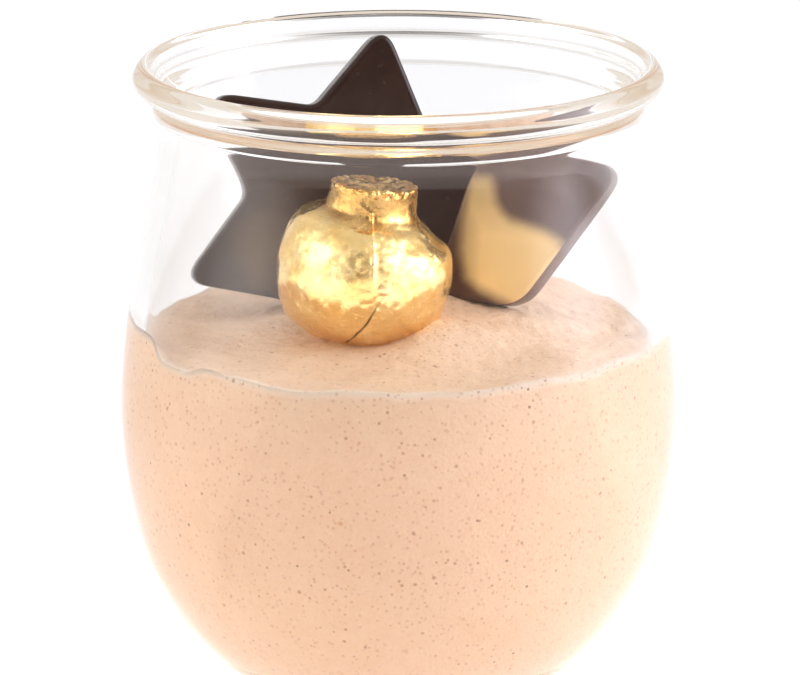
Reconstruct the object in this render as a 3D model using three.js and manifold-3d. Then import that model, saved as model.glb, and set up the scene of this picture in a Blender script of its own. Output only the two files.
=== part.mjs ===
// A tulip-shaped glass jar of gingerbread mousse, topped with a six-pointed dark chocolate star,
// a lozenge of the same chocolate and a foil-wrapped chocolate bauble.
// Millimetres, +Z up; the origin is the centre of the jar's foot, and -Y is the front.
import * as THREE from 'three';
import { mergeVertices } from 'three/addons/utils/BufferGeometryUtils.js';
import Module from 'manifold-3d';

const wasm = await Module();
wasm.setup();

// Driving dimensions of the jar
const JAR_HEIGHT = 80;
const BELLY_RADIUS = 34.5;
const BELLY_HEIGHT = 34.3;
const NECK_RADIUS = 29.6;
const NECK_TOP = 73.4;
const FOOT_RADIUS = 18.2;
const FOOT_RING = 3.2;
const PUNT_DEPTH = 1.2;
const WALL = 2.3;
const FLOOR_HEIGHT = 5.2;
const RIM_RADIUS = 32.8;
const RIM_MOUTH = 27.2;
const JAR_SEGMENTS = 64;
const WALL_STEPS = 17;
const RIM_STEPS = 17;

// Driving dimensions of the contents
const GAP = 0.3;
const MOUSSE_LEVEL = 45.5;
const MOUSSE_WAVE = 0.45;
const MOUSSE_HEAP = 3.9;
const HEAP_CENTRE = [4, 2];
const HEAP_WIDTH = 13;
const MOUSSE_SEGMENTS = 60;
const MOUSSE_RINGS = 13;
const CHOCOLATE_THICKNESS = 4.2;
const CHOCOLATE_BEVEL = 0.7;
const STAR_RADIUS = 23.9;
const STAR_POINTS = 6;
const STAR_NOTCH = 0.595;
const STAR_ROUNDING = 3.6;
const NOTCH_ROUNDING = 1.2;
const LOZENGE_CORNERS = [[-8.65, -9.2], [3.25, -9.65], [14.85, 8.65], [-0.35, 13.35]];
const LOZENGE_INRADIUS = 4.9;
const LOZENGE_ROUNDING = 3;
const BAUBLE_RADIUS = 10.85;
const BAUBLE_TOP = 10.6;
const BAUBLE_NECK = 5;
const BAUBLE_SEGMENTS = 32;
const BAUBLE_STEPS = 20;

// Where each topping lies: centre, turn to the left, lean backwards, and roll in its own plane
const STAR_PLACE = { at: [-5.2, 9.4, 58.8], turn: -11, lean: 12, roll: -11.2 };
const LOZENGE_PLACE = { at: [12.6, 0.6, 58.8], turn: 24, lean: 15, roll: 0 };
const BAUBLE_PLACE = { at: [-4.1, -7.6, 56.2], tilt: 10 };

const GLASS = new THREE.MeshStandardMaterial({ color: 0xf2f6f5, roughness: 0.05, metalness: 0 });
const MOUSSE = new THREE.MeshStandardMaterial({ color: 0xe9c3a2, roughness: 0.7, metalness: 0 });
const CHOCOLATE = new THREE.MeshStandardMaterial({ color: 0x38221d, roughness: 0.3, metalness: 0 });
const FOIL = new THREE.MeshStandardMaterial({ color: 0xe0ac4e, roughness: 0.25, metalness: 1 });

const point = (radius, height) => new THREE.Vector2(radius, height);

// Keep only the merged positions of a closed geometry, so that neighbouring faces share vertices.
function weld(geometry) {
  const bare = geometry.clone();
  bare.deleteAttribute('normal');
  bare.deleteAttribute('uv');
  return mergeVertices(bare, 1e-3);
}

function toSolid(geometry) {
  const welded = weld(geometry);
  return new wasm.Manifold(new wasm.Mesh({
    numProp: 3,
    vertProperties: new Float32Array(welded.attributes.position.array),
    triVerts: new Uint32Array(welded.index.array),
  }));
}

function fromSolid(solid) {
  const mesh = solid.getMesh();
  const geometry = new THREE.BufferGeometry();
  geometry.setAttribute('position', new THREE.BufferAttribute(new Float32Array(mesh.vertProperties), 3));
  geometry.setIndex(new THREE.BufferAttribute(new Uint32Array(mesh.triVerts), 1));
  geometry.computeVertexNormals();
  return geometry;
}

// A lathe turned about Z: the profile is given as (radius, height) points, from the axis round to the axis.
function turned(profile, segments) {
  return new THREE.LatheGeometry(profile, segments).rotateX(Math.PI / 2);
}

function named(name, geometry, material) {
  const mesh = new THREE.Mesh(geometry, material);
  mesh.name = name;
  return mesh;
}

// Jar: the outer wall is one smooth curve from the foot over the belly to the neck.
const outerWall = new THREE.SplineCurve([
  point(FOOT_RADIUS, 0.6),
  point(22.9, 4.9),
  point(28.1, 11.1),
  point(32.2, 19.9),
  point(BELLY_RADIUS, BELLY_HEIGHT),
  point(33.6, 48.3),
  point(31, 61.3),
  point(NECK_RADIUS, 70.3),
  point(NECK_RADIUS, NECK_TOP),
]);

// The inner wall follows the outer one at the wall's thickness, down to the rounded floor.
function innerWallPoints(steps) {
  const points = [];
  for (let i = steps; i >= 0; i -= 1) {
    const t = i / steps;
    const tangent = outerWall.getTangent(t);
    const outer = outerWall.getPoint(t);
    const inner = point(outer.x - tangent.y * WALL, outer.y + tangent.x * WALL);
    if (inner.y > FLOOR_HEIGHT + 2.2) points.push(inner);
  }
  return points;
}

// Rim: a short collar above the neck, then a rounded ring from its underside over the crest to the mouth.
function rimPoints() {
  const ring = new THREE.SplineCurve([
    point(NECK_RADIUS + 0.7, NECK_TOP + 0.4),
    point(NECK_RADIUS + 0.9, NECK_TOP + 1.5),
    point(NECK_RADIUS + 1.2, NECK_TOP + 2.8),
    point(RIM_RADIUS - 0.5, JAR_HEIGHT - 3.1),
    point(RIM_RADIUS, JAR_HEIGHT - 1.8),
    point(RIM_RADIUS - 0.7, JAR_HEIGHT - 0.5),
    point(30.5, JAR_HEIGHT),
    point(28.7, JAR_HEIGHT - 0.4),
    point(27.6, JAR_HEIGHT - 1.6),
    point(RIM_MOUTH, JAR_HEIGHT - 3),
  ]);
  return ring.getPoints(RIM_STEPS);
}

const innerWall = innerWallPoints(WALL_STEPS);

function jarGeometry() {
  const foot = [
    point(0, PUNT_DEPTH),
    point(FOOT_RADIUS - FOOT_RING - 1.6, PUNT_DEPTH),
    point(FOOT_RADIUS - FOOT_RING, 0),
    point(FOOT_RADIUS - 0.6, 0),
  ];
  const floor = [
    point(innerWall[innerWall.length - 1].x - 2.6, FLOOR_HEIGHT + 0.6),
    point(innerWall[innerWall.length - 1].x - 6, FLOOR_HEIGHT),
    point(0, FLOOR_HEIGHT),
  ];
  const profile = [...foot, ...outerWall.getPoints(WALL_STEPS), ...rimPoints(), ...innerWall, ...floor];
  return weld(turned(profile, JAR_SEGMENTS));
}

// The inner wall's radius at a height, read off the inner wall's points.
function innerRadius(height) {
  const rising = [...innerWall].reverse();
  const next = rising.findIndex((p) => p.y >= height);
  if (next <= 0) return rising[0].x;
  const low = rising[next - 1];
  const high = rising[next];
  return low.x + (high.x - low.x) * (height - low.y) / (high.y - low.y);
}

// The mousse's top: soft uneven swells that run out into a wavy line on the glass.
function mousseTop(x, y) {
  const swell = Math.sin(0.17 * x + 0.8) * Math.cos(0.15 * y - 0.5);
  const ripple = 0.5 * Math.sin(0.36 * x - 0.29 * y + 1.1) + 0.3 * Math.sin(0.55 * y + 0.2 * x);
  const heap = Math.exp(-((x - HEAP_CENTRE[0]) ** 2 + (y - HEAP_CENTRE[1]) ** 2) / (2 * HEAP_WIDTH ** 2));
  return MOUSSE_LEVEL + MOUSSE_WAVE * (swell + ripple) + MOUSSE_HEAP * heap;
}

// Mousse: it fills the jar from the floor to its top, and its top's rings follow mousseTop.
function mousseSolid() {
  const side = innerWall
    .filter((p) => p.y < MOUSSE_LEVEL - 4)
    .reverse()
    .map((p) => point(p.x - GAP, p.y));
  const bottom = FLOOR_HEIGHT + GAP;
  const topRadius = innerRadius(MOUSSE_LEVEL) - GAP;
  const profile = [
    point(0, bottom),
    point(side[0].x - 6, bottom),
    point(side[0].x - 2.4, bottom + 0.8),
    ...side,
  ];
  const firstTop = profile.length;
  for (let ring = MOUSSE_RINGS; ring >= 0; ring -= 1) {
    profile.push(point(topRadius * ring / MOUSSE_RINGS, MOUSSE_LEVEL));
  }
  const geometry = turned(profile, MOUSSE_SEGMENTS);
  const position = geometry.attributes.position;
  for (let i = 0; i < position.count; i += 1) {
    if (i % profile.length >= firstTop) {
      const height = mousseTop(position.getX(i), position.getY(i));
      const scale = Math.min(1, (innerRadius(height) - GAP) / topRadius);
      position.setXYZ(i, position.getX(i) * scale, position.getY(i) * scale, height);
    }
  }
  return toSolid(geometry);
}

// A closed outline whose corners are rounded off, each over its own length along both edges.
function roundedOutline(corners, cuts) {
  const shape = new THREE.Shape();
  corners.forEach((corner, i) => {
    const cut = cuts[i];
    const before = corners[(i + corners.length - 1) % corners.length];
    const after = corners[(i + 1) % corners.length];
    const start = corner.clone().add(before.clone().sub(corner).setLength(cut));
    const end = corner.clone().add(after.clone().sub(corner).setLength(cut));
    if (i === 0) shape.moveTo(start.x, start.y);
    else shape.lineTo(start.x, start.y);
    shape.quadraticCurveTo(corner.x, corner.y, end.x, end.y);
  });
  shape.closePath();
  return shape;
}

function starCorners(grow) {
  const corners = [];
  for (let i = 0; i < 2 * STAR_POINTS; i += 1) {
    const angle = Math.PI / 2 + THREE.MathUtils.degToRad(STAR_PLACE.roll) + Math.PI * i / STAR_POINTS;
    const reach = STAR_RADIUS * (i % 2 === 0 ? 1 : STAR_NOTCH) + grow * (i % 2 === 0 ? 2 : 1.2);
    corners.push(point(reach * Math.cos(angle), reach * Math.sin(angle)));
  }
  return corners;
}

// The lozenge's four uneven corners, for its pocket moved outwards from its centre.
function lozengeCorners(grow) {
  const scale = 1 + grow / LOZENGE_INRADIUS;
  return LOZENGE_CORNERS.map(([x, y]) => point(x * scale, y * scale));
}

const STAR_CUTS = starCorners(0).map((corner, i) => (i % 2 === 0 ? STAR_ROUNDING : NOTCH_ROUNDING));
const LOZENGE_CUTS = LOZENGE_CORNERS.map(() => LOZENGE_ROUNDING);

// A chocolate tablet: the outline with bevelled edges, its front face towards local +Z.
function tabletGeometry(corners, cuts, grow) {
  const bevel = CHOCOLATE_BEVEL;
  return new THREE.ExtrudeGeometry(roundedOutline(corners, cuts), {
    depth: CHOCOLATE_THICKNESS + 2 * grow - 2 * bevel,
    bevelEnabled: true,
    bevelThickness: bevel,
    bevelSize: bevel,
    bevelOffset: -bevel,
    bevelSegments: 3,
    curveSegments: 5,
  }).translate(0, 0, bevel - CHOCOLATE_THICKNESS - grow);
}

// Stand a tablet up: its front face turned to the left by "turn" and leant backwards by "lean".
function placeTablet(object, place) {
  object.position.set(...place.at);
  const lean = THREE.MathUtils.degToRad(place.lean);
  const turn = THREE.MathUtils.degToRad(place.turn);
  object.rotation.set(Math.PI / 2 - lean, 0, -turn, 'ZXY');
  return object;
}

// Bauble: a squat ball that draws in over a soft shoulder to a wide, flat-topped neck.
function baubleGeometry(grow) {
  const r = BAUBLE_RADIUS;
  const body = new THREE.SplineCurve([
    point(0, -r * 0.93),
    point(r * 0.5, -r * 0.86),
    point(r * 0.83, -r * 0.64),
    point(r * 0.97, -r * 0.32),
    point(r, 0),
    point(r * 0.9, r * 0.4),
    point(r * 0.68, r * 0.61),
    point(BAUBLE_NECK + 0.7, r * 0.74),
    point(BAUBLE_NECK + 0.2, r * 0.85),
    point(BAUBLE_NECK, BAUBLE_TOP - 0.6),
  ]);
  const profile = body.getPoints(BAUBLE_STEPS).map((p) => point(p.x, p.y));
  profile.push(point(BAUBLE_NECK - 0.5, BAUBLE_TOP), point(0, BAUBLE_TOP));
  const middle = profile.length - 1;
  profile.forEach((p, i) => {
    if (grow > 0 && i > 0 && i < middle) p.x += grow;
    if (grow > 0) p.y += p.y > 0 ? grow : -grow;
  });
  return turned(profile, BAUBLE_SEGMENTS);
}

function placeBauble(object) {
  object.position.set(...BAUBLE_PLACE.at);
  object.rotation.y = THREE.MathUtils.degToRad(BAUBLE_PLACE.tilt);
  return object;
}

// The solid that a topping takes out of the mousse, a small gap larger all round.
function pocket(geometry, place) {
  const mould = place(new THREE.Object3D());
  mould.updateMatrix();
  return toSolid(weld(geometry).applyMatrix4(mould.matrix));
}

const star = placeTablet(
  named('star', weld(tabletGeometry(starCorners(0), STAR_CUTS, 0)), CHOCOLATE), STAR_PLACE);
const lozenge = placeTablet(
  named('lozenge', weld(tabletGeometry(lozengeCorners(0), LOZENGE_CUTS, 0)), CHOCOLATE), LOZENGE_PLACE);
const bauble = placeBauble(named('bauble', weld(baubleGeometry(0)), FOIL));

const filling = mousseSolid()
  .subtract(pocket(tabletGeometry(starCorners(GAP), STAR_CUTS, GAP), (o) => placeTablet(o, STAR_PLACE)))
  .subtract(pocket(tabletGeometry(lozengeCorners(GAP), LOZENGE_CUTS, GAP), (o) => placeTablet(o, LOZENGE_PLACE)))
  .subtract(pocket(baubleGeometry(GAP), placeBauble));

const cup = new THREE.Group();
cup.add(
  named('jar', jarGeometry(), GLASS),
  named('mousse', fromSolid(filling), MOUSSE),
  star,
  lozenge,
  bauble,
);

export default cup;
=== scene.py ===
"""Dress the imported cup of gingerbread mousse: clear jar, speckled mousse, chocolate and gold foil.

Every piece is a surface worked out with numpy in millimetres and put into its mesh in metres, in the
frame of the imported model: +Z up, -Y the front, the origin at the centre of the jar's foot.
"""
import logging
import math
from dataclasses import dataclass
from enum import Enum

import bpy
import numpy as np
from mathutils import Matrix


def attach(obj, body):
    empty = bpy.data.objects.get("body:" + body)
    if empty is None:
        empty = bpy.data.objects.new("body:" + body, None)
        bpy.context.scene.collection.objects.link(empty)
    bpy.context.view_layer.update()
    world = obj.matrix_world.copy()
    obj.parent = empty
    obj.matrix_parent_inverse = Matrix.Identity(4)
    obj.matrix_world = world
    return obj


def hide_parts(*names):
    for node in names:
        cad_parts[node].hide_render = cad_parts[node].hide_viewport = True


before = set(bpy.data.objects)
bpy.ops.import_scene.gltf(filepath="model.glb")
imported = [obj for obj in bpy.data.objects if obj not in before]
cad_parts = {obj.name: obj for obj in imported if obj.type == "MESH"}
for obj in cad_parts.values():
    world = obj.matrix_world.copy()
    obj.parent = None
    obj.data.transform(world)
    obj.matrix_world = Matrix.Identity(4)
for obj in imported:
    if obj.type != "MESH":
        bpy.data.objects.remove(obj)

LOG = logging.getLogger("mousse_cup")
MM = 0.001
BODY = "root"
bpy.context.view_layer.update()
Array = np.ndarray
Material = bpy.types.Material
Node = bpy.types.Node
Piece = bpy.types.Object
Socket = bpy.types.NodeSocket
Tree = bpy.types.NodeTree
Pair = tuple[float, float]
Triple = tuple[float, float, float]
Colour = tuple[float, float, float, float]
SPICE: Colour = (0.42, 0.125, 0.035, 1.0)
CLOVE: Colour = (0.2, 0.05, 0.015, 1.0)
ZEST: Colour = (0.66, 0.24, 0.06, 1.0)
# Size of the smallest speck, as a share of the largest
SMALLEST_SPECK = 0.4


class Outline(Enum):
    """The outlines that a chocolate tablet comes in."""

    STAR = "star"
    LOZENGE = "lozenge"


# Curves and surfaces

def smooth_curve(stations: list[Pair], count: int) -> Array:
    """Sample a smooth plane curve through stations.

    A uniform Catmull-Rom spline: between two stations the point is a cubic whose end slopes are half
    the span between each station's neighbours.

    Args:
        stations: the points that the curve passes through.
        count: how many steps the samples make.

    Returns:
        An array of count + 1 points.
    """
    pts = np.asarray(stations, float)
    last = len(pts) - 1
    along = np.linspace(0.0, last, count + 1)
    cell = np.minimum(along.astype(int), last)
    w = (along - cell)[:, None]
    p0, p1 = pts[np.maximum(cell - 1, 0)], pts[cell]
    p2, p3 = pts[np.minimum(cell + 1, last)], pts[np.minimum(cell + 2, last)]
    v0, v1 = (p2 - p0) / 2, (p3 - p1) / 2
    return ((2 * p1 - 2 * p2 + v0 + v1) * w**3 + (3 * p2 - 3 * p1 - 2 * v0 - v1) * w**2 + v0 * w + p1)


def bend(start: Pair | Array, corner: Pair | Array, end: Pair | Array, count: int) -> Array:
    """Sample a quadratic curve that leaves start towards corner and arrives at end from corner.

    Args:
        start: first point, or a column of first points for many curves.
        corner: the point that both ends aim at, or a column.
        end: last point, or a column.
        count: how many steps the samples make.

    Returns:
        An array of count + 1 points, or one row of them for each curve.
    """
    w = np.linspace(0.0, 1.0, count + 1)[:, None]
    a, b, c = (np.asarray(p, float) for p in (start, corner, end))
    return a * (1 - w) ** 2 + b * 2 * w * (1 - w) + c * w**2


def turn_profile(profile: Array, segments: int) -> Array:
    """Turn (radius, height) points about Z into rings.

    Each ring is (r cos a, r sin a, z) for evenly spaced angles a.

    Args:
        profile: points as rows of radius and height.
        segments: how many points each ring has.

    Returns:
        An array of rings, segments and coordinates.
    """
    angle = np.linspace(0.0, 2 * math.pi, segments, endpoint=False)
    r, z = profile[:, :1], profile[:, 1:]
    return np.stack([r * np.cos(angle), r * np.sin(angle), np.broadcast_to(z, (len(profile), segments))], -1)


def length(way: Array) -> Array:
    """Lengths of the vectors on the last axis, which is kept."""
    return np.linalg.norm(way, axis=-1, keepdims=True)


@dataclass(frozen=True)
class Wave:
    """A smooth random relief: its height, its middle wavelength and the seed of its draw."""

    height: float
    wavelength: float
    seed: int
    count: int = 14

    def over(self, points: Array) -> Array:
        """Work out the relief at points.

        It is the sum of count sine waves of random direction and phase whose lengths lie within a third of
        the middle wavelength, divided by the root of half their number, times the height.

        Args:
            points: an array whose last axis holds the coordinates.

        Returns:
            The relief, with the shape of points without its last axis.
        """
        draw = np.random.default_rng(self.seed)
        direction = draw.normal(size=(self.count, points.shape[-1]))
        direction /= length(direction)
        pulse = 2 * math.pi / (self.wavelength * draw.uniform(0.67, 1.33, self.count))
        phase = draw.uniform(0.0, 2 * math.pi, self.count)
        waves = np.sin(points @ (direction * pulse[:, None]).T + phase)
        return self.height * (waves.sum(-1) / math.sqrt(self.count / 2))


def bell(x: Array, y: Array, centre: Pair, width: float) -> Array:
    """A round bell: e to the power of minus the squared distance from its centre over 2 width squared."""
    return np.exp(-((x - centre[0]) ** 2 + (y - centre[1]) ** 2) / (2 * width**2))


def ridge(gap: Array, width: float) -> Array:
    """A soft ridge: e to the power of minus the square of gap over width."""
    return np.exp(-((gap / width) ** 2))


def gap_to_line(points: Array, line: Array, closed: bool = False) -> Array:
    """Distance from points to a line of straight pieces: the least of the distances to its pieces.

    Args:
        points: an array whose last axis holds the coordinates.
        line: the line's corners.
        closed: whether the last corner joins the first.

    Returns:
        The distances, with the shape of points without its last axis.
    """
    ends = np.roll(line, -1, axis=0)
    count = len(line) if closed else len(line) - 1
    best = np.full(points.shape[:-1], np.inf)
    for start, end in zip(line[:count], ends[:count]):
        way = end - start
        share = np.clip((points - start) @ way / (way @ way), 0.0, 1.0)
        best = np.minimum(best, np.linalg.norm(points - start - share[..., None] * way, axis=-1))
    return best


def soft_inside(points: Array, outline: tuple[Pair, ...], soft: float) -> Array:
    """Return 1 well inside a closed plane outline and 0 well outside it, with a smooth step across it.

    A point lies inside when a level line from it crosses the outline an odd number of times.

    Args:
        points: plane points on the last axis.
        outline: the outline's corners.
        soft: half the width of the step.

    Returns:
        The mask, with the shape of points without its last axis.
    """
    a = np.asarray(outline, float)
    b = np.roll(a, -1, axis=0)
    px, py = points[..., :1], points[..., 1:2]
    spans = (a[:, 1] > py) != (b[:, 1] > py)
    cross = a[:, 0] + (py - a[:, 1]) * (b[:, 0] - a[:, 0]) / (b[:, 1] - a[:, 1] + 1e-12)
    inside = (spans & (px < cross)).sum(-1) % 2 == 1
    gap = gap_to_line(points, a, closed=True)
    step = np.clip(0.5 + np.where(inside, gap, -gap) / (2 * soft), 0.0, 1.0)
    return step * step * (3 - 2 * step)


def store(piece: Piece, name: str, value: Array) -> None:
    """Keep one number per vertex, by ring and segment, as an attribute; each pole gets its ring's mean."""
    whole = np.concatenate([[value[0].mean()], np.ravel(value), [value[-1].mean()]]).astype(np.float32)
    piece.data.attributes.new(name, "FLOAT", "POINT").data.foreach_set("value", whole)


def ring_normals(rings: Array) -> Array:
    """Unit normals of a stack of closed rings, by the cross product of its two directions.

    Args:
        rings: an array of rings, segments and coordinates.

    Returns:
        An array of the same shape.
    """
    across = np.roll(rings, -1, axis=1) - np.roll(rings, 1, axis=1)
    along = np.gradient(rings, axis=0)
    normal = np.cross(across, along)
    return normal / np.maximum(length(normal), 1e-9)


def skin(name: str, rings: Array, first: Array, last: Array) -> Piece:
    """Make a closed mesh object from a stack of rings that is capped by a pole at each end.

    Args:
        name: the piece's name.
        rings: rings, segments and coordinates, in millimetres.
        first: the pole before the first ring.
        last: the pole after the last ring.

    Returns:
        The new object, at the origin, with its faces pointing outwards.
    """
    rows, cols = rings.shape[:2]
    verts = np.vstack([np.reshape(first, (1, 3)), rings.reshape(-1, 3), np.reshape(last, (1, 3))]) * MM
    here = 1 + np.arange(rows * cols).reshape(rows, cols)
    side = np.roll(here, -1, axis=1)
    quads = np.stack([here[:-1], side[:-1], side[1:], here[1:]], -1).reshape(-1, 4)
    low = np.stack([np.zeros(cols, int), side[0], here[0]], -1)
    high = np.stack([np.full(cols, rows * cols + 1), here[-1], side[-1]], -1)
    tris = np.vstack([low, high, quads[:, [0, 1, 2]], quads[:, [0, 2, 3]]])
    a, b, c = (verts[tris[:, i]] for i in range(3))
    if np.einsum("ij,ij->", a, np.cross(b, c)) < 0:
        quads, low, high = quads[:, ::-1], low[:, ::-1], high[:, ::-1]
    mesh = bpy.data.meshes.new(name)
    mesh.from_pydata(verts.tolist(), [], low.tolist() + quads.tolist() + high.tolist())
    mesh.polygons.foreach_set("use_smooth", np.ones(len(mesh.polygons), bool))
    mesh.update()
    piece = bpy.data.objects.new(name, mesh)
    bpy.context.collection.objects.link(piece)
    return piece


def settle(piece: Piece, node: str, material: Material) -> None:
    """Let a piece stand for a CAD node and give it its finish.

    Args:
        piece: the new piece.
        node: the node that it replaces.
        material: its finish.
    """
    piece.data.materials.append(material)
    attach(piece, BODY)
    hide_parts(node)
    LOG.info("%s: %d faces for node %s", piece.name, len(piece.data.polygons), node)


# Shader helpers

class Graph:
    """A short way to add and link nodes in one node tree."""

    def __init__(self, tree: Tree) -> None:
        """Keep the tree that nodes go into."""
        self.tree = tree

    def node(self, kind: str, inputs: dict | None = None, **settings: object) -> Node:
        """Add a node.

        Args:
            kind: the node's type name.
            inputs: socket name or index to a value, or to an output socket that is linked to it.
            **settings: properties of the node itself.

        Returns:
            The new node.
        """
        made = self.tree.nodes.new(kind)
        for key, value in settings.items():
            setattr(made, key, value)
        for key, value in (inputs or {}).items():
            if isinstance(value, Socket):
                self.link(value, made.inputs[key])
            else:
                made.inputs[key].default_value = value
        return made

    def link(self, start: Socket, end: Socket) -> None:
        """Link an output socket to an input socket."""
        self.tree.links.new(start, end)

    def math(self, operation: str, a: object, b: object = 0.0, clamp: bool = False) -> Socket:
        """Add a math node on two values or sockets and return its output."""
        return self.node("ShaderNodeMath", {0: a, 1: b}, operation=operation, use_clamp=clamp).outputs[0]

    def vector(self, operation: str, a: object, b: object) -> Node:
        """Add a vector math node on two vectors or sockets and return it."""
        return self.node("ShaderNodeVectorMath", {0: a, 1: b}, operation=operation)

    def mix(self, factor: object, a: object, b: object) -> Socket:
        """Add a colour mix from a to b and return its output."""
        return self.node("ShaderNodeMix", {0: factor, 6: a, 7: b}, data_type="RGBA").outputs[2]

    def ramp(self, value: object, start: float, end: float, low: float, high: float) -> Socket:
        """Add a smooth step from low to high as value goes from start to end and return its output."""
        made = self.node("ShaderNodeMapRange", {0: value, 1: start, 2: end, 3: low, 4: high},
                         interpolation_type="SMOOTHSTEP")
        return made.outputs[0]

    def weighted(self, *parts: tuple[Socket, float]) -> Socket:
        """Add up sockets, each times its own weight, and return the sum."""
        shares = [self.math("MULTIPLY", socket, weight) for socket, weight in parts]
        total = shares[0]
        for share in shares[1:]:
            total = self.math("ADD", total, share)
        return total

    def group(self, tree: Tree, place: Socket,
              **inputs: float) -> Socket:
        """Place a node group on the given coordinates and return its first output."""
        return self.node("ShaderNodeGroup", {"Vector": place, **inputs}, node_tree=tree).outputs[0]

    def place(self) -> Socket:
        """Add the object coordinates and return their socket."""
        return self.node("ShaderNodeTexCoord").outputs["Object"]

    def mark(self, name: str) -> Socket:
        """Add the piece's own attribute of that name and return its value."""
        return self.node("ShaderNodeAttribute", attribute_name=name).outputs["Fac"]

    def bump(self, height: Socket, strength: float, depth: float) -> Socket:
        """Add a bump of the given strength and depth in metres and return its normal."""
        inputs = {"Strength": strength, "Distance": depth, "Height": height}
        return self.node("ShaderNodeBump", inputs).outputs[0]


def new_material(name: str, constants: dict[str, object]) -> tuple[Material, Graph, Node]:
    """Make a material with one Principled shader.

    Args:
        name: the material's name.
        constants: the shader's socket names to the values that they keep.

    Returns:
        The material, its graph and its shader.
    """
    material = bpy.data.materials.new(name)
    material.use_nodes = True
    shader = material.node_tree.nodes["Principled BSDF"]
    for key, value in constants.items():
        shader.inputs[key].default_value = value
    return material, Graph(material.node_tree), shader


def new_group(name: str, inputs: dict[str, float | None],
              outputs: tuple[str, ...]) -> tuple[Graph, dict, dict]:
    """Make a shader node group with a vector input and float inputs and outputs.

    Args:
        name: the group's name.
        inputs: input name to its default, or to None for a vector.
        outputs: names of the float outputs.

    Returns:
        The group's graph, its input sockets and its output sockets by name.
    """
    tree = bpy.data.node_groups.new(name, "ShaderNodeTree")
    for key, value in inputs.items():
        kind = "NodeSocketVector" if value is None else "NodeSocketFloat"
        socket = tree.interface.new_socket(key, in_out="INPUT", socket_type=kind)
        if value is not None:
            socket.default_value = value
    for key in outputs:
        tree.interface.new_socket(key, in_out="OUTPUT", socket_type="NodeSocketFloat")
    graph = Graph(tree)
    enter = graph.node("NodeGroupInput")
    leave = graph.node("NodeGroupOutput")
    return graph, {k: enter.outputs[k] for k in inputs}, {k: leave.inputs[k] for k in outputs}


def speckle_group() -> Tree:
    """Scattered round specks: in each cell of a Voronoi pattern a speck of its own size, or none.

    A cell holds a speck where its random red lies under Share. The mask is 0 beyond Radius, shrunk by the
    cell's random green, and rises to 1 over Soft inside it, in units of a cell.

    Returns:
        The group, with the output Mask.
    """
    graph, given, out = new_group(
        "Speckle", {"Vector": None, "Scale": 400.0, "Radius": 0.25, "Share": 0.5, "Soft": 0.06}, ("Mask",))
    cell = graph.node("ShaderNodeTexVoronoi", {"Vector": given["Vector"], "Scale": given["Scale"]})
    hue = graph.node("ShaderNodeSeparateColor", {0: cell.outputs["Color"]})
    there = graph.math("LESS_THAN", hue.outputs[0], given["Share"])
    share = graph.math("ADD", graph.math("MULTIPLY", hue.outputs[1], 1.0 - SMALLEST_SPECK), SMALLEST_SPECK)
    size = graph.math("MULTIPLY", given["Radius"], share)
    depth = graph.math("SUBTRACT", size, cell.outputs["Distance"])
    inside = graph.math("DIVIDE", depth, given["Soft"], clamp=True)
    graph.link(graph.math("MULTIPLY", inside, there), out["Mask"])
    return graph.tree


def mottle_group() -> Tree:
    """Soft cloudy variation: a fractal noise stretched about its middle.

    Returns:
        The group, with the output Value from 0 to 1.
    """
    graph, given, out = new_group(
        "Mottle", {"Vector": None, "Scale": 100.0, "Detail": 4.0, "Contrast": 1.6}, ("Value",))
    noise = graph.node("ShaderNodeTexNoise",
                       {"Vector": given["Vector"], "Scale": given["Scale"], "Detail": given["Detail"]})
    centred = graph.math("MULTIPLY", graph.math("SUBTRACT", noise.outputs[0], 0.5), given["Contrast"])
    graph.link(graph.math("ADD", centred, 0.5, clamp=True), out["Value"])
    return graph.tree


def crumple_group() -> Tree:
    """Crumpled sheet: flat facets, each tilted its own way.

    In each cell of a Voronoi pattern the height is the way from the cell's point, in cells, times the
    cell's random colour less one half, so that it is a plane there and breaks sharply at the cell's edge.

    Returns:
        The group, with the output Height.
    """
    graph, given, out = new_group("Crumple", {"Vector": None, "Scale": 400.0}, ("Height",))
    cell = graph.node("ShaderNodeTexVoronoi", {"Vector": given["Vector"], "Scale": given["Scale"]})
    way = graph.vector("SUBTRACT", given["Vector"], cell.outputs["Position"])
    tilt = graph.vector("SUBTRACT", cell.outputs["Color"], (0.5, 0.5, 0.5))
    lift = graph.vector("DOT_PRODUCT", way.outputs[0], tilt.outputs[0])
    graph.link(graph.math("MULTIPLY", lift.outputs["Value"], given["Scale"]), out["Height"])
    return graph.tree


@dataclass(frozen=True)
class Effects:
    """The node groups that the finishes share."""

    speckle: Tree
    mottle: Tree
    crumple: Tree


# Finishes

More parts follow.
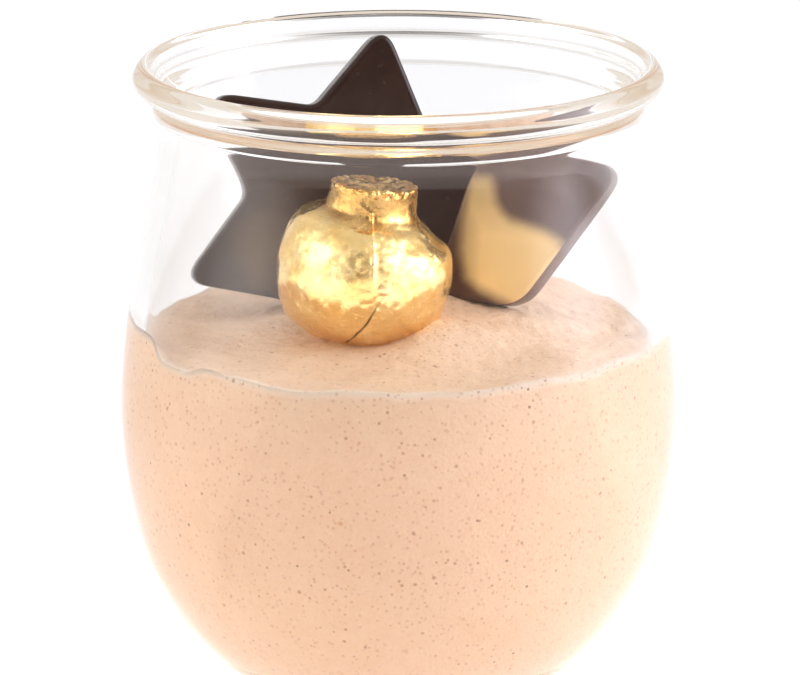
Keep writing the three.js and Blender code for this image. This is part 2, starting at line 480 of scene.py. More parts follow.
@dataclass(frozen=True)
class GlassFinish:
    """Clear soda glass with a trace of warmth, which lets light pass to what it holds."""

    tint: Colour = (0.99, 0.982, 0.974, 1.0)
    shine: Colour = (0.8, 0.7, 0.65, 1.0)
    body: Colour = (0.82, 0.66, 0.45, 1.0)
    density: float = 11.0
    shade: Colour = (0.97, 0.975, 0.97, 1.0)
    # painted glow: the colour the glass gives off where light is long caught in it
    glow: Colour = (0.88, 0.82, 0.75, 1.0)
    ior: float = 1.5
    roughness: float = 0.03
    deepest: float = 10.5
    most_mirrored: float = 3.5

    def material(self) -> Material:
        """Make the glass: clear to shadow rays, tinted in its depth, with a painted pale glow where light is
        long caught.

        Returns:
            The material.
        """
        material, graph, shader = new_material("clear_glass", {
            "Base Color": self.tint, "Roughness": self.roughness, "IOR": self.ior,
            "Specular Tint": self.shine, "Transmission Weight": 1.0})
        ray = graph.node("ShaderNodeLightPath")
        clear = graph.node("ShaderNodeBsdfTransparent", {"Color": self.shade})
        both = graph.node("ShaderNodeMixShader",
                          {0: ray.outputs["Is Shadow Ray"], 1: shader.outputs[0], 2: clear.outputs[0]})
        deep = graph.math("GREATER_THAN", ray.outputs["Ray Depth"], self.deepest)
        mirrored = graph.math("GREATER_THAN", ray.outputs["Glossy Depth"], self.most_mirrored)
        caught = graph.math("MAXIMUM", deep, mirrored)
        # painted glow: an emission stands in for the light that rays caught deep in the glass would bring
        pale = graph.node("ShaderNodeEmission", {"Color": self.glow, "Strength": 1.0})
        whole = graph.node("ShaderNodeMixShader", {0: caught, 1: both.outputs[0], 2: pale.outputs[0]})
        depth = graph.node("ShaderNodeVolumeAbsorption", {"Color": self.body, "Density": self.density})
        end = graph.tree.nodes["Material Output"]
        graph.link(whole.outputs[0], end.inputs["Surface"])
        graph.link(depth.outputs[0], end.inputs["Volume"])
        return material


@dataclass(frozen=True)
class Specks:
    """A kind of speck: cells per metre, radius in cells, share of cells with one, colour and strength."""

    scale: float
    radius: float
    share: float
    tone: Colour
    strength: float


@dataclass(frozen=True)
class MousseFinish:
    """Pale spiced cream with fine brown specks, a few orange ones, and small bubbles."""

    cream: Colour = (0.83, 0.52, 0.32, 1.0)
    pale: Colour = (0.92, 0.66, 0.46, 1.0)
    edge: Colour = (0.97, 0.78, 0.61, 1.0)
    specks: tuple[Specks, ...] = (
        Specks(1400.0, 0.36, 0.88, SPICE, 0.25), Specks(760.0, 0.22, 0.52, SPICE, 0.52),
        Specks(470.0, 0.125, 0.44, CLOVE, 0.75), Specks(420.0, 0.16, 0.15, ZEST, 0.5))
    roughness: float = 0.62
    relief: float = 0.5
    relief_depth: float = 0.0002

    def material(self, effects: Effects) -> Material:
        """Return the mousse; its own attribute cream_edge marks the pale line along the glass.

        Args:
            effects: the shared node groups.

        Returns:
            The material.
        """
        material, graph, shader = new_material("spiced_mousse", {"Roughness": self.roughness})
        place = graph.place()
        clouds = graph.group(effects.mottle, place, Scale=90.0, Detail=3.0)
        blots = graph.group(effects.mottle, place, Scale=520.0, Detail=4.0)
        grain = graph.group(effects.mottle, place, Scale=2600.0, Detail=2.0, Contrast=2.4)
        blend = graph.weighted((clouds, 0.3), (blots, 0.35), (grain, 0.35))
        colour = graph.mix(blend, self.cream, self.pale)
        colour = graph.mix(graph.mark("cream_edge"), colour, self.edge)
        for kind in self.specks:
            dots = graph.group(effects.speckle, place,
                               Scale=kind.scale, Radius=kind.radius, Share=kind.share)
            colour = graph.mix(graph.math("MULTIPLY", dots, kind.strength), colour, kind.tone)
        graph.link(colour, shader.inputs["Base Color"])
        bubbles = graph.group(effects.speckle, place, Scale=900.0, Radius=0.4, Share=0.6, Soft=0.3)
        height = graph.math("SUBTRACT", graph.math("MULTIPLY", grain, 0.5), bubbles)
        graph.link(graph.bump(height, self.relief, self.relief_depth), shader.inputs["Normal"])
        return material


@dataclass(frozen=True)
class ChocolateFinish:
    """Moulded chocolate, smooth and glossy, faintly mottled by bloom and handling."""

    name: str = "dark_chocolate"
    dark: Colour = (0.024, 0.009, 0.005, 1.0)
    light: Colour = (0.04, 0.016, 0.01, 1.0)
    # painted reflection: the colour of the gold bauble mirrored in a tablet's front
    bauble_reflection: Colour = (1.0, 0.7, 0.31, 1.0)
    gloss: float = 0.24
    gloss_spread: float = 0.12
    relief: float = 0.1
    relief_depth: float = 0.00008
    specular: float = 0.32

    def material(self, effects: Effects) -> Material:
        """Return the chocolate; a piece's own attribute marks where a painted reflection of the gold bauble
        lies on it.

        Args:
            effects: the shared node groups.

        Returns:
            The material.
        """
        material, graph, shader = new_material(self.name, {"Specular IOR Level": self.specular})
        place = graph.place()
        bloom = graph.group(effects.mottle, place, Scale=260.0, Detail=5.0)
        # painted reflection of the bauble, where the piece's attribute marks it
        colour = graph.mix(graph.mark("bauble_reflection"), graph.mix(bloom, self.dark, self.light), self.bauble_reflection)
        graph.link(colour, shader.inputs["Base Color"])
        dull = graph.group(effects.mottle, place, Scale=700.0, Detail=4.0)
        spread = graph.math("MULTIPLY", dull, self.gloss_spread)
        graph.link(graph.math("ADD", spread, self.gloss - self.gloss_spread / 2), shader.inputs["Roughness"])
        graph.link(graph.bump(dull, self.relief, self.relief_depth), shader.inputs["Normal"])
        return material


@dataclass(frozen=True)
class FoilFinish:
    """Gold foil over chocolate: bright, finely crinkled, deeper orange in patches, with painted brown shade
    on the neck.
    """

    gold: Colour = (0.99, 0.76, 0.38, 1.0)
    deep: Colour = (0.89, 0.54, 0.15, 1.0)
    torn: Colour = (0.06, 0.025, 0.012, 1.0)
    # painted shade: the darker tone of the neck, which lies in shade
    brown: Colour = (0.35, 0.175, 0.048, 1.0)
    roughness: float = 0.23
    spread: float = 0.16
    dullness: float = 0.04
    facets: tuple[Pair, ...] = ((290.0, 0.3), (760.0, 0.34), (1900.0, 0.13))
    facet_scale: float = 280.0
    relief: float = 1.0
    relief_depth: float = 0.001

    def material(self, effects: Effects) -> Material:
        """Return the foil; the piece's attribute tear marks where it has split, and dull marks the neck,
        where brown shade is painted and the foil is a little rougher.

        Each entry of facets is cells to the metre and steepness; smaller facets are lower in proportion.

        Args:
            effects: the shared node groups.

        Returns:
            The material.
        """
        material, graph, shader = new_material("gold_foil", {"Metallic": 1.0})
        place = graph.place()
        tone = graph.group(effects.mottle, place, Scale=320.0, Detail=3.0)
        dull = graph.mark("dull")
        # painted shade: brown where the neck is marked dull
        colour = graph.mix(dull, graph.mix(tone, self.deep, self.gold), self.brown)
        graph.link(graph.mix(graph.mark("tear"), colour, self.torn), shader.inputs["Base Color"])
        height = graph.weighted(*(
            (graph.group(effects.crumple, place, Scale=scale), steepness * self.facet_scale / scale)
            for scale, steepness in self.facets))
        graph.link(graph.bump(height, self.relief, self.relief_depth), shader.inputs["Normal"])
        fine = graph.group(effects.mottle, place, Scale=1500.0, Detail=4.0)
        uneven = graph.math("MULTIPLY", fine, self.spread)
        rough = graph.math("ADD", uneven, self.roughness - self.spread / 2)
        rough = graph.math("ADD", rough, graph.math("MULTIPLY", dull, self.dullness))
        graph.link(rough, shader.inputs["Roughness"])
        return material


# The pieces

@dataclass(frozen=True)
class Jar:
    """The tulip-shaped jar, in millimetres."""

    height: float = 80.0
    belly_radius: float = 34.47
    belly_height: float = 34.3
    neck_radius: float = 29.6
    neck_top: float = 73.4
    foot_radius: float = 18.2
    foot_ring: float = 3.2
    foot_rounding: float = 0.6
    punt: float = 1.2
    wall: float = 2.3
    floor: float = 5.2
    corner_height: float = 2.2
    corner_reach: float = 2.4
    corner_width: float = 6.5
    rim_radius: float = 32.8
    mouth_radius: float = 27.35
    segments: int = 192
    wall_steps: int = 110
    rim_steps: int = 90
    corner_steps: int = 16

    def outer_wall(self) -> Array:
        """The outside from the foot over the belly to the neck, as one smooth curve."""
        return smooth_curve([
            (self.foot_radius, self.foot_rounding), (22.9, 4.9), (28.1, 11.1), (32.2, 19.9),
            (self.belly_radius, self.belly_height), (33.6, 48.3), (31.0, 61.3),
            (self.neck_radius, 70.3), (self.neck_radius, self.neck_top)], self.wall_steps)

    def rim(self) -> Array:
        """The rim: a collar above the neck, a rounded ring, and a funnel from its crest to the mouth."""
        neck, ring, low, top = self.neck_radius, self.rim_radius, self.neck_top, self.height
        return smooth_curve([
            (neck + 0.7, low + 0.4), (neck + 0.9, low + 1.5), (neck + 1.2, low + 2.8),
            (ring - 0.5, top - 3.1), (ring, top - 1.8), (ring - 0.7, top - 0.5), (31.3, top),
            (30.6, top - 0.5), (29.9, top - 1.9), (29.1, top - 3.2), (28.2, top - 4.4),
            (self.mouth_radius, top - 5.6)], self.rim_steps)

    def inner_wall(self) -> Array:
        """The inside from the neck down to the floor's corner: the outer wall moved in by its thickness.

        Returns:
            Points as rows of radius and height.
        """
        outer = self.outer_wall()
        along = np.gradient(outer, axis=0)
        along /= length(along)
        inner = np.stack([outer[:, 0] - along[:, 1] * self.wall, outer[:, 1] + along[:, 0] * self.wall], -1)
        return inner[inner[:, 1] > self.floor + self.corner_height][::-1]

    def floor_corner(self) -> Array:
        """The round corner from the inner wall to the flat floor."""
        foot = self.inner_wall()[-1]
        corner, end = ((foot[0] - inward, self.floor) for inward in (self.corner_reach, self.corner_width))
        return bend(tuple(foot), corner, end, self.corner_steps)[1:]

    def inner_radius(self, height: Array) -> Array:
        """The inside's radius at given heights, between the floor's corner and the neck."""
        inside = np.vstack([self.inner_wall(), self.floor_corner()])[::-1]
        return np.interp(height, inside[:, 1], inside[:, 0])

    def build(self, finish: GlassFinish) -> Piece:
        """Turn the whole wall, outside and inside, into one closed piece of glass.

        Args:
            finish: the glass.

        Returns:
            The jar.
        """
        sole, ring = self.foot_radius, self.foot_radius - self.foot_ring
        punt = bend((ring - 3.0, self.punt), (ring - 1.0, self.punt), (ring, 0.0), 8)
        foot = bend((sole - 1.2, 0.0), (sole - 0.3, 0.0), (sole, self.foot_rounding), 6)[:-1]
        outside = np.vstack([punt, foot, self.outer_wall(), self.rim()])
        profile = np.vstack([outside, self.inner_wall(), self.floor_corner()])
        jar = skin("glass_jar", turn_profile(profile, self.segments),
                   np.array([0.0, 0.0, self.punt]), np.array([0.0, 0.0, self.floor]))
        settle(jar, "jar", finish.material())
        return jar


@dataclass(frozen=True)
class Mousse:
    """The filling: it reaches a hair into the glass, so that no air shows between them."""

    level: float = 45.5
    wave: float = 0.45
    heap: float = 3.9
    heap_centre: Pair = (4.0, 2.0)
    heap_width: float = 13.0
    bite: float = 0.08
    smear_height: float = 2.5
    smear_start: float = math.radians(178.0)
    smear_end: float = math.radians(206.0)
    smear_slope: float = math.radians(1.0)
    lump_height: float = 0.7
    lump_angle: float = math.radians(224.0)
    lump_width: float = math.radians(5.0)
    back_rise: float = 1.3
    bank_height: float = 2.3
    bank_centre: Pair = (4.0, -13.0)
    bank_width: float = 4.4
    lip: float = 0.15
    wobble: Wave = Wave(0.05, 5.0, 14)
    unevenness: tuple[Wave, ...] = (Wave(0.1, 11.0, 11), Wave(0.05, 4.0, 12), Wave(0.03, 1.5, 13))
    wall_reach: float = 0.7
    crowding: float = 0.8
    edge_below: float = 0.45
    edge_inward: float = 0.8
    segments: int = 400
    rings: int = 130
    side_steps: int = 40

    def top(self, x: Array, y: Array) -> Array:
        """Height of the top: swells, a ripple, a heap under the toppings, a rise behind and a bank in front.

        Args:
            x: distances to the right.
            y: distances to the back.

        Returns:
            The heights.
        """
        swell = np.sin(0.17 * x + 0.8) * np.cos(0.15 * y - 0.5)
        ripple = 0.5 * np.sin(0.36 * x - 0.29 * y + 1.1) + 0.3 * np.sin(0.55 * y + 0.2 * x)
        mound = bell(x, y, self.heap_centre, self.heap_width)
        bank = bell(x, y, self.bank_centre, self.bank_width)
        back = self.back_rise * np.clip((y + 6.0) / 26.0, 0.0, 1.0) ** 1.5
        back = back * np.clip((30.0 - x) / 18.0, 0.0, 1.0)
        return self.level + self.wave * (swell + ripple) + self.heap * mound + back + self.bank_height * bank

    def relief(self, x: Array, y: Array) -> Array:
        """Spooned unevenness on the top: random waves of three lengths, the longest the highest."""
        flat = np.stack([x, y], -1)
        return sum(wave.over(flat) for wave in self.unevenness)

    def contact(self, angle: Array, radius: float) -> Array:
        """Height of the line on the glass: the top there, with a smear and a lump up the left wall.

        Args:
            angle: angles about the jar's axis.
            radius: the line's radius.

        Returns:
            The height for each angle.
        """
        x, y = radius * np.cos(angle), radius * np.sin(angle)
        rise = 1 / (1 + np.exp(-(angle - self.smear_start) / (2 * self.smear_slope)))
        fall = 1 / (1 + np.exp((angle - self.smear_end) / self.smear_slope))
        smear = self.smear_height * rise * fall
        lump = self.lump_height * np.exp(-(((angle - self.lump_angle) / self.lump_width) ** 4))
        return self.top(x, y) + self.wobble.over(np.stack([x, y], -1)) + self.lip + smear + lump

    def build(self, jar: Jar, finish: MousseFinish, effects: Effects) -> Piece:
        """Make the filling as rings: up the wall from the floor, then inwards over the top.

        Args:
            jar: the jar that holds it.
            finish: its finish.
            effects: the shared node groups.

        Returns:
            The mousse, with the attribute cream_edge along its line on the glass.
        """
        angle = np.linspace(0.0, 2 * math.pi, self.segments, endpoint=False)
        bottom = jar.floor - self.bite
        line = self.contact(angle, float(jar.inner_radius(np.array(self.level))))
        share = np.linspace(0.0, 1.0, self.side_steps)[:, None]
        heights = bottom + (line - bottom) * share
        radii = jar.inner_radius(np.maximum(heights, jar.floor)) + self.bite
        side = np.stack([radii * np.cos(angle), radii * np.sin(angle), heights], -1)
        edge = radii[-1]
        inward = np.linspace(1.0, 0.0, self.rings + 1)[1:-1, None] ** self.crowding
        x, y = inward * edge * np.cos(angle), inward * edge * np.sin(angle)
        away = (1 - inward) * edge
        wall_rise = line - self.top(edge * np.cos(angle), edge * np.sin(angle))
        near_wall = np.exp(-away / self.wall_reach)
        height = self.top(x, y) + self.relief(x, y) * (1 - near_wall) + wall_rise * near_wall
        top = np.stack([x, y, height], -1)
        centre = top[-1].mean(axis=0)
        mousse = skin("mousse_filling", np.vstack([side, top]), np.array([0.0, 0.0, bottom]), centre)
        marks = [ridge(line - heights, self.edge_below), ridge(away, self.edge_inward)]
        store(mousse, "cream_edge", np.concatenate(marks))
        settle(mousse, "mousse", finish.material(effects))
        return mousse


@dataclass(frozen=True)
class Place:
    """Where a tablet stands: its front's centre, and its turn to the left, lean back and roll in degrees."""

    at: Triple
    turn: float
    lean: float
    roll: float = 0.0

    def put(self, points: Array) -> Array:
        """Carry local points, front towards local +Z, to where the tablet stands.

        The local axes become: across = (cos turn, -sin turn, 0), front = towards the viewer turned to the
        left and leant back, and up = front x across. The roll is left to the outline.

        Args:
            points: an array whose last axis is local x, y, z.

        Returns:
            The placed points.
        """
        turn, lean = math.radians(self.turn), math.radians(self.lean)
        across = np.array([math.cos(turn), -math.sin(turn), 0.0])
        level = math.cos(lean)
        front = np.array([-math.sin(turn) * level, -math.cos(turn) * level, math.sin(lean)])
        up = np.cross(front, across)
        return np.array(self.at) + points @ np.stack([across, up, front])


@dataclass(frozen=True)
class PaintedReflection:
    """A painted reflection of the gold bauble on a tablet's front, outlined across and up from its centre;
    it dims to its top and left.
    """

    outline: tuple[Pair, ...] = (
        (-4.6, 6.6), (-2.1, 6.6), (-1.4, 5.2), (-0.9, 3.3), (0.0, 2.0), (1.2, 1.1), (3.0, 0.8), (5.8, 0.2),
        (8.0, -0.9), (8.2, -2.4), (7.0, -5.0), (5.3, -7.4), (4.0, -9.1), (2.7, -9.4), (0.5, -8.7),
        (-2.1, -7.6), (-3.9, -6.6), (-5.0, -3.2), (-5.2, 0.5))
    soft: float = 1.1
    top_gold: float = 0.6
    top_fade: float = 0.1
    top_start: float = 3.0
    left_gold: float = 0.5
    left_fade: float = 0.18
    left_start: float = -4.9

    def share(self, face: Array) -> Array:
        """How strongly the painted reflection shows at each point of a face.

        Args:
            face: plane points on the last axis.

        Returns:
            The share of gold from 0 to 1, with the shape of face without its last axis.
        """
        down, right = self.top_start - face[..., 1], face[..., 0] - self.left_start
        from_top = np.clip(self.top_gold + self.top_fade * down, self.top_gold, 1.0)
        from_left = np.clip(self.left_gold + self.left_fade * right, self.left_gold, 1.0)
        return soft_inside(face, self.outline, self.soft) * np.minimum(from_top, from_left)


@dataclass(frozen=True)
class ChocolateTablet:
    """A moulded chocolate tablet with rounded corners and soft edges."""

    name: str
    node: str
    outline: Outline
    place: Place
    rounding: float
    thickness: float = 4.2
    bevel: float = 0.7
    star_radius: float = 23.86
    star_points: int = 6
    star_notch: float = 0.595
    notch_rounding: float = 1.2
    lozenge: tuple[Pair, ...] = ((-8.65, -9.2), (3.25, -9.65), (14.85, 8.65), (-3.2, 13.1))
    # painted reflection of the bauble on the front, or None
    painted_reflection: PaintedReflection | None = None
    unevenness: Wave = Wave(0.03, 9.0, 21)
    dip: float = 0.1
    corner_steps: int = 14
    edge_steps: int = 16
    bevel_steps: int = 9
    face_steps: int = 40

    def corners(self) -> Array:
        """The sharp corners, counter-clockwise: a star's points and notches, or a lozenge's four corners.

        Returns:
            Plane points.
        """
        if self.outline is Outline.STAR:
            index = np.arange(2 * self.star_points)
            turn = math.pi / 2 + math.radians(self.place.roll) + math.pi * index / self.star_points
            reach = self.star_radius * np.where(index % 2 == 0, 1.0, self.star_notch)
            return np.stack([reach * np.cos(turn), reach * np.sin(turn)], -1)
        return np.array(self.lozenge)

    def rim_line(self) -> Array:
        """The outline with each corner rounded off by a quadratic curve.

        Returns:
            Closely spaced plane points.
        """
        sharp = self.corners()
        back, ahead = np.roll(sharp, 1, axis=0) - sharp, np.roll(sharp, -1, axis=0) - sharp
        notch = (np.arange(len(sharp)) % 2 == 1) & (self.outline is Outline.STAR)
        cut = np.where(notch, self.notch_rounding, self.rounding)[:, None]
        start = sharp + back / length(back) * cut
        end = sharp + ahead / length(ahead) * cut
        curve = bend(start[:, None], sharp[:, None], end[:, None], self.corner_steps)
        w = np.linspace(0.0, 1.0, self.edge_steps + 1)[None, 1:-1, None]
        edge = end[:, None] * (1 - w) + np.roll(start, -1, axis=0)[:, None] * w
        return np.concatenate([curve, edge], axis=1).reshape(-1, 2)

    def build(self, material: Material) -> Piece:
        """Make the tablet as rings: out over the back, round both edges, and in over the front.

        A ring is the outline drawn in along its own normals for the soft edges, then shrunk to the centre
        for the faces; the front face dips a little and is not quite even.

        Args:
            material: the chocolate.

        Returns:
            The tablet, with its painted reflection of the bauble stored as an attribute if it has one.
        """
        line = self.rim_line()
        along = np.roll(line, -1, axis=0) - np.roll(line, 1, axis=0)
        outward = np.stack([along[:, 1], -along[:, 0]], -1) / length(along)
        quarter = np.linspace(0.0, math.pi / 2, self.bevel_steps)
        inset = self.bevel * (1 - np.cos(quarter))
        drop = self.bevel * (1 - np.sin(quarter))
        flat = line - outward * self.bevel
        shrink = np.linspace(0.0, 1.0, self.face_steps)[1:-1]
        front_face = flat[None] * shrink[::-1, None, None]
        front_edge = line[None] - outward[None] * inset[:, None, None]
        level = np.concatenate([
            np.full(len(shrink), -self.thickness), drop[::-1] - self.thickness,
            -drop, np.zeros(len(shrink))])
        rings = np.concatenate([front_face[::-1], front_edge[::-1], front_edge, front_face])
        reach = np.concatenate([shrink, np.ones(2 * len(quarter)), shrink[::-1]])
        uneven = self.unevenness.over(rings) - self.dip * (1 - reach[:, None] ** 2)
        is_front = level[:, None] > -self.bevel / 2
        height = level[:, None] + np.where(is_front, uneven, 0.0)
        solid = np.concatenate([rings, height[..., None]], -1)
        behind, before = np.array([0.0, 0.0, -self.thickness]), solid[-1].mean(axis=0)
        tablet = skin(self.name, self.place.put(solid), self.place.put(behind), self.place.put(before))
        # store the painted reflection of the bauble, on the front only
        if self.painted_reflection is not None:
            store(tablet, "bauble_reflection", self.painted_reflection.share(rings) * is_front)
        settle(tablet, self.node, material)
        return tablet


@dataclass(frozen=True)
class Bauble:
    """The foil-wrapped ball with its wide neck, and the folds of its foil."""

    at: Triple = (-4.1, -7.6, 56.2)
    tilt: float = math.radians(6.5)
    radius: float = 10.85
    top: float = 10.6
    neck: float = 5.45
    brim: float = 0.6
    segments: int = 340
    steps: int = 210
    facets: int = 420
    facet_seed: int = 31
    facet_cap: float = 0.9
    facet_depth: float = 0.07
    calm: float = 0.25
    crinkled: float = 0.9
    fold_reach: float = 2.6
    fold_depth: float = 0.2
    fold_width: float = 0.22
    crease_share: float = 0.3
    tear_depth: float = 0.15
    tear_width: float = 0.14
    tear_top: float = -1.5
    tear_taper: float = 3.0
    tear_least: float = 0.3
    shoulder: float = 0.9
    left_shoulder: Pair = (5.8, 1.7)
    right_shoulder: Pair = (4.8, 1.3)
    sink: float = 0.08
    brim_wave: Wave = Wave(0.12, 1.5, 43)
    long_wave: Wave = Wave(0.05, 5.0, 41)
    short_wave: Wave = Wave(0.012, 1.6, 42)
    # painted shade on the neck: where it begins, how fast it sets in, its strength and its unevenness
    shade_start: float = 5.4
    shade_slope: float = 1.3
    neck_shade: float = 0.85
    shade_wave: Wave = Wave(0.15, 4.0, 44)
    fold: tuple[Triple, ...] = (
        (0.9, -5.6, 7.6), (1.0, -8.6, 5.6), (1.1, -10.2, 3.0), (1.0, -10.8, 0.0), (1.2, -10.4, -3.5))
    crease: tuple[Triple, ...] = ((-3.4, -4.2, 10.0), (-0.8, -5.2, 8.9), (0.9, -5.8, 7.8))
    tear: tuple[Triple, ...] = (
        (2.3, -10.4, -1.7), (1.33, -10.2, -3.25), (0.4, -9.6, -4.9), (-0.9, -8.6, -6.5), (-2.2, -6.8, -8.4))

    def profile(self) -> Array:
        """The smooth outline from the underside over the shoulder and neck to the flat top.

        Returns:
            Points as rows of radius and height.
        """
        r, neck, top, brim = self.radius, self.neck, self.top, self.brim
        body = smooth_curve([
            (0.02, -r * 0.93), (r * 0.5, -r * 0.86), (r * 0.83, -r * 0.64), (r * 0.97, -r * 0.32), (r, 0.0),
            (r * 0.92, r * 0.31), (r * 0.77, r * 0.48), (neck + 1.2, r * 0.57), (neck + 0.2, r * 0.65),
            (neck, r * 0.78), (neck, top - brim)], self.steps)
        edge = bend((neck, top - brim), (neck, top), (neck - brim, top), 8)[1:]
        lid = np.stack([np.linspace(neck - brim, 0.15, 14)[1:], np.full(13, top - 0.05)], -1)
        return np.vstack([body[1:], edge, lid])

    def on_ball(self, points: Array | tuple[Triple, ...]) -> Array:
        """Carry points straight out from the ball's centre, or in, to its radius."""
        way = np.asarray(points, float)
        return way * self.radius / length(way)

    def crumple(self, points: Array) -> Array:
        """Height of the crumpled facets: in each cell round a random seed the foil is stretched flat.

        The height is the difference of the distances to the nearest and the next seed, capped, so that
        sharp valleys run between the cells.

        Args:
            points: rings, segments and local coordinates.

        Returns:
            The height from 0 to 1.
        """
        draw = np.random.default_rng(self.facet_seed)
        seeds = draw.normal(size=(self.facets, 3))
        seeds *= self.radius * np.array([1.0, 1.0, 0.95]) / length(seeds)
        flat = points.reshape(-1, 3)
        height = np.empty(len(flat))
        for part in np.array_split(np.arange(len(flat)), 24):
            gap = np.linalg.norm(flat[part, None] - seeds[None], axis=-1)
            near = np.partition(gap, 1, axis=1)[:, :2]
            height[part] = np.clip((near[:, 1] - near[:, 0]) / self.facet_cap, 0.0, 1.0)
        return height.reshape(points.shape[:2])

    def build(self, finish: FoilFinish, effects: Effects) -> Piece:
        """Turn the outline and push it in and out along its normals by facets, folds, a tear and soft waves.

        Args:
            finish: the foil.
            effects: the shared node groups.

        Returns:
            The bauble, with the attributes tear, and dull for the neck's painted shade.
        """
        rings = turn_profile(self.profile(), self.segments)
        normal = ring_normals(rings)
        angle = np.linspace(0.0, 2 * math.pi, self.segments, endpoint=False)[None]
        z = rings[..., 2]
        cos, sin = math.cos(self.tilt), math.sin(self.tilt)
        turn = np.array([[cos, 0.0, sin], [0.0, 1.0, 0.0], [-sin, 0.0, cos]])
        held = self.on_ball(rings @ turn.T)
        to_fold, to_crease, to_tear = (
            gap_to_line(held, self.on_ball(line)) for line in (self.fold, self.crease, self.tear))
        crinkles = self.calm + self.crinkled * ridge(to_fold, self.fold_reach)
        facets = self.facet_depth * self.crumple(rings) * crinkles
        folds = ridge(to_fold, self.fold_width) + self.crease_share * ridge(to_crease, self.fold_width)
        taper = np.clip((self.tear_top - held[..., 2]) / self.tear_taper, self.tear_least, 1.0)
        split = ridge(to_tear, self.tear_width) * taper
        left, right = (
            np.clip(way * np.cos(angle), 0.0, 1.0) ** 1.5 * ridge(z - level, width)
            for way, (level, width) in ((-1.0, self.left_shoulder), (1.0, self.right_shoulder)))
        slope = self.shoulder * (left - right)
        brim = self.brim_wave.over(rings) * np.clip((z - self.top + 1.2) / 0.8, 0.0, 1.0)
        soft = self.long_wave.over(rings) + self.short_wave.over(rings)
        push = facets + self.fold_depth * folds - self.tear_depth * split + slope + brim + soft - self.sink
        placed = (rings + normal * push[..., None]) @ turn.T + np.array(self.at)
        bauble = skin("foil_bauble", placed, placed[0].mean(axis=0), placed[-1].mean(axis=0))
        store(bauble, "tear", np.clip(1.4 * split - 0.2, 0.0, 1.0))
        # painted shade: the neck darkens upwards, unevenly
        shaded = np.clip((z - self.shade_start) / self.shade_slope, 0.0, 1.0)
        store(bauble, "dull", np.clip(shaded * (self.neck_shade + self.shade_wave.over(rings)), 0.0, 1.0))
        settle(bauble, "bauble", finish.material(effects))
        return bauble


# The studio

@dataclass(frozen=True)
class Softbox:
    """A round softbox: degrees right of the camera's side and above the table, brightness and colour."""

    name: str
    azimuth: float
    height: float
    radiance: float
    tone: Triple = (1.0, 1.0, 1.0)
    distance: float = 0.9
    radius: float = 0.6

    def put_up(self, level: float, only: Piece | None = None) -> None:
        """Put it up so that it faces the jar.

        Its brightness at a share r of its radius from its centre is (1 - r squared) squared. One that lights
        a single piece gives nothing on to what that piece shines on.

        Args:
            level: height of the point that it faces.
            only: the one piece that it lights, or None for all.
        """
        away, radius = self.distance, self.radius
        turn, lift = math.radians(self.azimuth), math.radians(self.height)
        centre = (away * math.cos(lift) * math.sin(turn), -away * math.cos(lift) * math.cos(turn),
                  level + away * math.sin(lift))
        light = bpy.data.lights.new(self.name, "AREA")
        light.shape = "DISK"
        light.size = 2 * radius
        light.energy = self.radiance * math.pi * math.pi * radius**2
        light.color = self.tone
        light.use_nodes = True
        graph = Graph(light.node_tree)
        spot = graph.node("ShaderNodeNewGeometry").outputs["Position"]
        reach = graph.vector("DISTANCE", spot, centre).outputs["Value"]
        share = graph.math("POWER", graph.math("DIVIDE", reach, radius), 2.0)
        fade = graph.math("POWER", graph.math("SUBTRACT", 1.0, share, clamp=True), 2.0)
        if only is not None:
            scattered = graph.node("ShaderNodeLightPath").outputs["Diffuse Depth"]
            fade = graph.math("MULTIPLY", fade, graph.math("LESS_THAN", scattered, 0.5))
        graph.link(fade, light.node_tree.nodes["Emission"].inputs["Strength"])
        lamp = bpy.data.objects.new(self.name, light)
        lamp.location = centre
        lamp.rotation_euler = (math.pi / 2 - lift, 0.0, turn)
        bpy.context.collection.objects.link(lamp)
        if only is not None:
            light.cycles.use_multiple_importance_sampling = False
            lit = bpy.data.collections.new(self.name + "_lights")
            lit.objects.link(only)
            lamp.light_linking.receiver_collection = lit


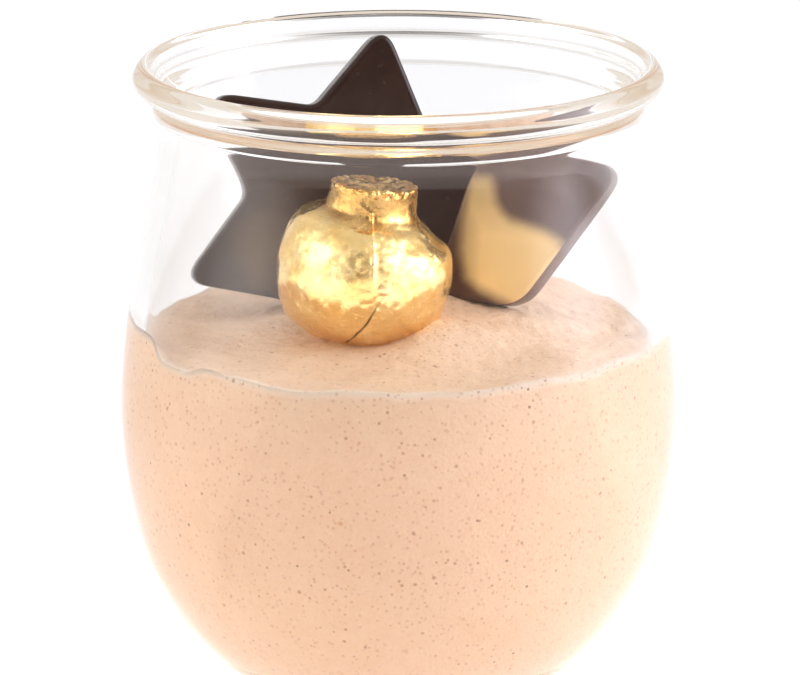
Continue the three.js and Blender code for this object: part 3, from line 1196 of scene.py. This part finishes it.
@dataclass(frozen=True)
class Studio:
    """Floor, soft light and camera; lengths in metres, the camera's elevation in radians."""

    target: Triple = (0.0002, 0.0, 0.0449)
    distance: float = 1.0
    elevation: float = math.radians(14.0)
    lens: float = 362.0
    sensor: float = 36.0
    far_clip: float = 20.0
    sky: float = 0.95
    front_sky: float = 0.28
    sky_edges: Pair = (-0.55, -0.9)
    sky_tone: Colour = (1.0, 0.99, 0.985, 1.0)
    overhead: float = 0.15
    front_glow: float = 0.82
    back_glow: float = 0.04
    glow_edges: Pair = (-0.02, 0.1)
    far_glow: float = 0.35
    far_edges: Pair = (-0.42, -0.2)
    glow_tone: Colour = (1.0, 0.99, 0.98, 1.0)
    floor_tone: Colour = (0.94, 0.935, 0.93, 1.0)
    floor_roughness: float = 0.9
    floor_size: float = 8.0
    boxes: tuple[Softbox, ...] = (
        Softbox("left_softbox", -72.0, 22.0, 2.45, (0.95, 1.0, 1.06)),
        Softbox("right_softbox", 86.0, 24.0, 4.9, (0.97, 1.05, 1.26)))
    glint_boxes: tuple[Softbox, ...] = (
        Softbox("left_glint", -55.0, 16.0, 26.0), Softbox("right_glint", 68.0, 20.0, 46.0))

    def camera(self) -> None:
        """Place the camera before the jar, looking down at it a little."""
        data = bpy.data.cameras.new("camera")
        data.lens = self.lens
        data.sensor_width = self.sensor
        data.clip_end = self.far_clip
        camera = bpy.data.objects.new("camera", data)
        back = self.distance * math.cos(self.elevation)
        camera.location = (self.target[0], self.target[1] - back,
                           self.target[2] + self.distance * math.sin(self.elevation))
        camera.rotation_euler = (math.pi / 2 - self.elevation, 0.0, 0.0)
        bpy.context.collection.objects.link(camera)
        bpy.context.scene.camera = camera

    def floor(self) -> None:
        """Lay the pale floor; it glows as a light table does, less behind the jar and far before it."""
        half = self.floor_size / 2
        mesh = bpy.data.meshes.new("studio_floor")
        mesh.from_pydata([(-half, -half, 0.0), (half, -half, 0.0), (half, half, 0.0), (-half, half, 0.0)],
                         [], [(0, 1, 2, 3)])
        floor = bpy.data.objects.new("studio_floor", mesh)
        bpy.context.collection.objects.link(floor)
        material, graph, shader = new_material("pale_floor", {
            "Base Color": self.floor_tone, "Roughness": self.floor_roughness,
            "Emission Color": self.glow_tone})
        back = graph.node("ShaderNodeSeparateXYZ", {0: graph.place()}).outputs[1]
        glow = graph.ramp(back, *self.glow_edges, self.front_glow, self.back_glow)
        far = graph.ramp(back, *self.far_edges, self.far_glow, 1.0)
        graph.link(graph.math("MULTIPLY", glow, far), shader.inputs["Emission Strength"])
        mesh.materials.append(material)

    def sky_dome(self) -> None:
        """Surround all with white light that is dimmer overhead and on the camera's side."""
        world = bpy.data.worlds.new("studio_sky")
        bpy.context.scene.world = world
        world.use_nodes = True
        graph = Graph(world.node_tree)
        way = graph.node("ShaderNodeSeparateXYZ", {0: graph.node("ShaderNodeTexCoord").outputs["Generated"]})
        front = graph.ramp(way.outputs[1], *self.sky_edges, self.sky, self.front_sky)
        sky = world.node_tree.nodes["Background"]
        sky.inputs["Color"].default_value = self.sky_tone
        high = graph.math("MULTIPLY", graph.math("MAXIMUM", way.outputs[2], 0.0), self.overhead)
        graph.link(graph.math("MULTIPLY", front, graph.math("SUBTRACT", 1.0, high)), sky.inputs["Strength"])

    def build(self) -> None:
        """Set up camera, floor, sky and softboxes."""
        self.camera()
        self.floor()
        self.sky_dome()
        for box in self.boxes:
            box.put_up(self.target[2])
        bpy.context.scene.view_settings.view_transform = "Standard"

    def glints(self, bauble: Piece) -> None:
        """Add the two highlights on the foil, from the softboxes' sides."""
        for box in self.glint_boxes:
            box.put_up(self.target[2], only=bauble)


def main() -> None:
    """Build the studio and every piece in order."""
    logging.basicConfig(level=logging.INFO, format="%(name)s: %(message)s")
    studio = Studio()
    studio.build()
    effects = Effects(speckle_group(), mottle_group(), crumple_group())
    chocolate = ChocolateFinish().material(effects)
    brown = ChocolateFinish("brown_chocolate",
                            dark=(0.085, 0.036, 0.024, 1.0), light=(0.12, 0.055, 0.038, 1.0))
    jar = Jar()
    jar.build(GlassFinish())
    Mousse().build(jar, MousseFinish(), effects)
    star_place = Place((-5.2, 9.4, 58.8), turn=-11.0, lean=12.0, roll=-11.2)
    ChocolateTablet("chocolate_star", "star", Outline.STAR, star_place, rounding=3.6).build(chocolate)
    lozenge_place = Place((12.6, 0.6, 58.8), turn=24.0, lean=15.0)
    # the lozenge carries a painted reflection of the bauble on its front
    ChocolateTablet("chocolate_lozenge", "lozenge", Outline.LOZENGE, lozenge_place, rounding=3.0,
                    painted_reflection=PaintedReflection()).build(brown.material(effects))
    bauble = Bauble().build(FoilFinish(), effects)
    studio.glints(bauble)


if __name__ == "__main__":
    main()
